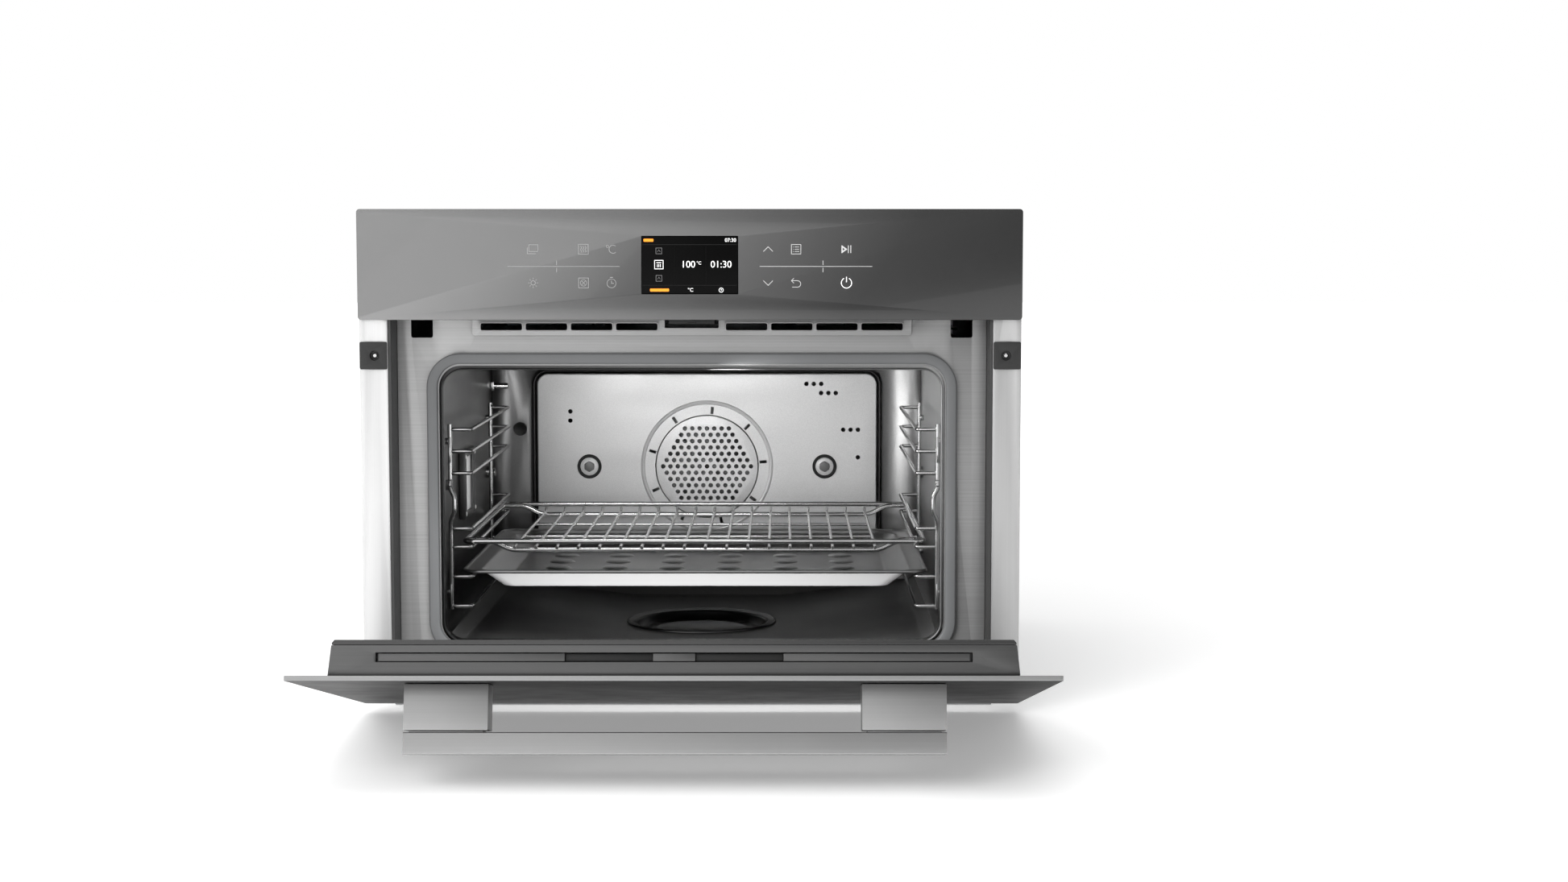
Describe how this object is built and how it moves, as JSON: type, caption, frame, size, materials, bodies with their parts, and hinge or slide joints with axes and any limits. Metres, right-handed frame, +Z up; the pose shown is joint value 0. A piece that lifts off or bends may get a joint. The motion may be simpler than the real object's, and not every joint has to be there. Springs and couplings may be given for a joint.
{
  "type": "built-in oven",
  "caption": "Compact built-in steam oven: glass control panel, drop-down door with bar handle, steel cavity with wire racks, shelf, tray and rear fan.",
  "frame": {"origin": "centre of the base pan's underside, on which the oven rests in its niche", "axes": "+X to the right of someone facing the door, +Y from the door towards the back of the niche, +Z up"},
  "size_m": [0.595, 0.8835, 0.4565],
  "materials": {
    "brushed_frame": "satin brushed stainless, grain along the long side",
    "trim_steel": "fine brushed, bright",
    "cavity_steel": "satin stainless cavity sheet",
    "bright_wire": "polished steel wire",
    "galvanised_sheet": "zinc-coated sheet, faint spangle",
    "control_glass_grey": "grey mirror-coated glass, glossy",
    "door_glass": "dark tinted glass, glossy",
    "door_profile": "smooth satin grey",
    "handle_aluminium": "satin anodised, fine grain",
    "black_plastic": "matt black",
    "grey_plastic": "fine moulded grain",
    "gasket_silicone": "soft matt silicone",
    "tray_steel": "satin pressed stainless",
    "heater_sheath": "heat-tinted tube",
    "insulation_wool": "matted mineral wool",
    "circuit_board": "solder-masked board",
    "clear_glass": "clear glass",
    "tank_plastic": "translucent moulded plastic",
    "screen": "black display glass"
  },
  "bodies": {
    "oven_body": {"base_pan": "galvanised_sheet", "side_panel_left": "galvanised_sheet", "side_panel_right": "galvanised_sheet", "top_cover": "galvanised_sheet", "rear_cover": "galvanised_sheet", "hinge_bracket_left": "galvanised_sheet", "hinge_bracket_right": "galvanised_sheet", "blower_housing": "galvanised_sheet", "front_frame": "brushed_frame", "vent_plate": "brushed_frame", "side_trim_left": "trim_steel", "side_trim_right": "trim_steel", "cavity_shell": "cavity_steel", "cavity_rear_wall": "cavity_steel", "air_baffle": "cavity_steel", "fan_grille": "cavity_steel", "evaporator_dish": "cavity_steel", "lamp_frame": "cavity_steel", "rack_left": "bright_wire", "rack_right": "bright_wire", "rack_bolt_left": "bright_wire", "rack_bolt_right": "bright_wire", "baffle_nut_left": "bright_wire", "baffle_nut_right": "bright_wire", "temperature_sensor": "bright_wire", "control_glass": "control_glass_grey", "lamp_glass": "clear_glass", "lamp_bulb": "clear_glass", "recess_liner_left": "black_plastic", "recess_liner_right": "black_plastic", "door_switch": "black_plastic", "cable_gland": "black_plastic", "panel_housing": "black_plastic", "fixing_block_left": "grey_plastic", "fixing_block_right": "grey_plastic", "door_gasket": "gasket_silicone", "ring_heater": "heater_sheath", "bottom_heater": "heater_sheath", "grill_heater": "heater_sheath", "convection_motor": "heater_sheath", "blower_motor": "heater_sheath", "insulation": "insulation_wool", "power_board": "circuit_board", "water_tank": "tank_plastic", "display_module": "screen"},
    "door": {"door_outer_glass": "door_glass", "door_frame": "door_profile", "door_vent_strip": "door_profile", "door_middle_glass": "clear_glass", "door_inner_glass": "door_glass", "hinge_arm_left": "galvanised_sheet", "hinge_arm_right": "galvanised_sheet", "handle_post_left": "handle_aluminium", "handle_post_right": "handle_aluminium", "handle_bar": "handle_aluminium"},
    "shelf": {"wire_shelf": "bright_wire"},
    "tray": {"baking_tray": "tray_steel"},
    "convection_fan": {"fan_wheel": "galvanised_sheet"},
    "cooling_fan": {"blower_impeller": "galvanised_sheet"}
  },
  "joints": [
    {"name": "door_hinge", "type": "hinge", "parent": "oven_body", "child": "door", "pos_m": [0, -0.29375, 0.011], "axis": [1, 0, 0], "range_deg": [-75.9, 14.1]},
    {"name": "shelf_slide", "type": "slide", "parent": "oven_body", "child": "shelf", "axis": [0, -1, 0], "range_m": [0, 0.29]},
    {"name": "tray_slide", "type": "slide", "parent": "oven_body", "child": "tray", "axis": [0, -1, 0], "range_m": [0, 0.29]},
    {"name": "convection_fan_spin", "type": "hinge", "parent": "oven_body", "child": "convection_fan", "pos_m": [0, 0.17325, 0.1835], "axis": [0, 1, 0], "continuous": true},
    {"name": "cooling_fan_spin", "type": "hinge", "parent": "oven_body", "child": "cooling_fan", "pos_m": [0, 0.03525, 0.385], "axis": [1, 0, 0], "continuous": true}
  ]
}
